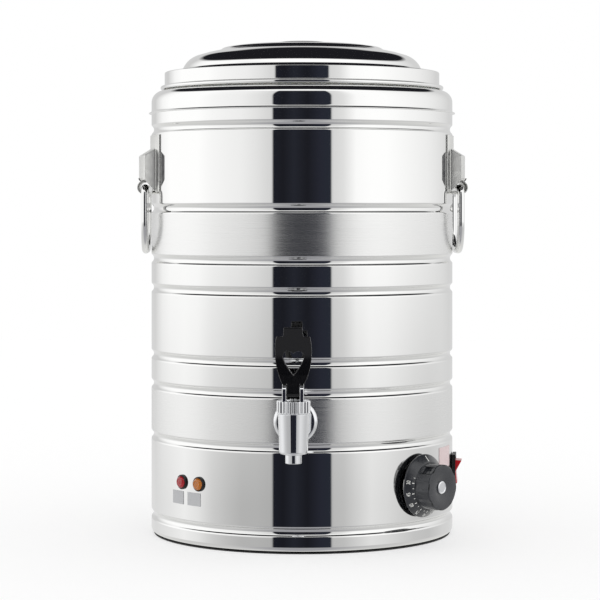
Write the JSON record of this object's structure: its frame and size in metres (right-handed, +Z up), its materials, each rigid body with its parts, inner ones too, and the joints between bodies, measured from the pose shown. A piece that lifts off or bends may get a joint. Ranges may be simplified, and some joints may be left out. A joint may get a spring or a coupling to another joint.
{
  "type": "hot water urn",
  "caption": "Insulated round stainless hot water urn with a lift-off domed lid, a lever tap, a dial thermostat, a rocker switch and drop handles on both sides.",
  "frame": {"origin": "on the barrel's axis at floor level", "axes": "+Z up, -Y towards the tap, +X to the right of someone who faces the tap"},
  "size_m": [0.33, 0.3756, 0.4885],
  "materials": {
    "mirror_steel": "polished",
    "pot_steel": "satin",
    "plated_steel": "satin",
    "tap_chrome": "polished",
    "cast_aluminium": "matte",
    "element_sheath": "matte",
    "insulating_foam": "matte",
    "black_rubber": "matte",
    "seal_silicone": "satin",
    "black_plastic": "satin",
    "red_plastic": "gloss",
    "red_lens": "gloss",
    "amber_lens": "gloss",
    "foil_label": "satin",
    "nylon": "satin",
    "brass": "satin",
    "copper": "satin",
    "wire_sleeve": "satin"
  },
  "bodies": {
    "urn": {"outer_shell": "mirror_steel", "shoulder_ring": "mirror_steel", "inner_pot": "pot_steel", "foam_jacket": "insulating_foam", "base_ring": "black_rubber", "base_plate": "plated_steel", "base_brackets": "plated_steel", "base_screws": "plated_steel", "heating_plate": "cast_aluminium", "heating_element": "element_sheath", "heater_clamp": "plated_steel", "heater_stud": "plated_steel", "heater_nuts": "plated_steel", "heat_shield": "plated_steel", "thermal_cutout": "black_plastic", "thermostat_body": "black_plastic", "dial_bezel": "mirror_steel", "thermostat_screws": "plated_steel", "capillary_and_bulb": "copper", "switch_housing": "black_plastic", "lamp_bodies": "black_plastic", "red_lens": "red_lens", "amber_lens": "amber_lens", "lamp_labels": "foil_label", "side_label": "foil_label", "cable_gland": "black_plastic", "gland_nut": "black_plastic", "terminal_block": "nylon", "earth_stud": "brass", "wiring_loom": "wire_sleeve", "tap_flange": "tap_chrome", "tap_nut": "brass", "tap_shank": "brass", "tap_sleeve": "nylon", "tap_seal": "seal_silicone", "tap_body": "tap_chrome", "tap_bonnet": "tap_chrome", "lever_pin": "plated_steel", "valve_spring": "plated_steel", "handle_bracket_right": "mirror_steel", "handle_bracket_left": "mirror_steel"},
    "lid": {"lid_dome": "mirror_steel", "lid_liner": "pot_steel", "lid_foam": "insulating_foam", "lid_gasket": "seal_silicone", "lid_knob": "mirror_steel", "lid_screw": "plated_steel"},
    "tap_lever": {"tap_lever": "black_plastic"},
    "valve": {"valve_stem": "plated_steel", "valve_cup": "seal_silicone", "cross_pin": "plated_steel"},
    "knob": {"thermostat_knob": "black_plastic", "knob_cap": "tap_chrome", "thermostat_shaft": "plated_steel"},
    "rocker": {"rocker": "red_plastic"},
    "bail_right": {"bail_right": "mirror_steel"},
    "bail_left": {"bail_left": "mirror_steel"}
  },
  "joints": [
    {"name": "lid_lift", "type": "slide", "parent": "urn", "child": "lid", "axis": [0, 0, 1], "range_m": [0, 0.12]},
    {"name": "lever_tilt", "type": "hinge", "parent": "urn", "child": "tap_lever", "pos_m": [0, -0.197, 0.155], "axis": [1, 0, 0], "range_deg": [0, 25], "stiffness_Nm_per_rad": 0.08, "springref_deg": -14.32},
    {"name": "valve_lift", "type": "slide", "parent": "urn", "child": "valve", "axis": [0, 0, 1], "range_m": [0, 0.0022], "deforming": ["valve_spring"]},
    {"name": "knob_turn", "type": "hinge", "parent": "urn", "child": "knob", "pos_m": [0.12434, -0.10069, 0.058], "axis": [-0.7771, 0.6293, 0], "range_deg": [0, 280]},
    {"name": "rocker_press", "type": "hinge", "parent": "urn", "child": "rocker", "pos_m": [0.14854, -0.01039, 0.063], "axis": [-0.0698, -0.9976, 0], "range_deg": [0, 22]},
    {"name": "bail_right_swing", "type": "hinge", "parent": "urn", "child": "bail_right", "pos_m": [0.15482, 0.01083, 0.342], "axis": [0.0698, -0.9976, 0], "range_deg": [-1, 120]},
    {"name": "bail_left_swing", "type": "hinge", "parent": "urn", "child": "bail_left", "pos_m": [-0.15482, -0.01083, 0.342], "axis": [-0.0698, 0.9976, 0], "range_deg": [-1, 120]}
  ],
  "couplings": [
    {"joint": "valve_lift", "follows": "lever_tilt", "m_per_rad": 0.004843}
  ]
}
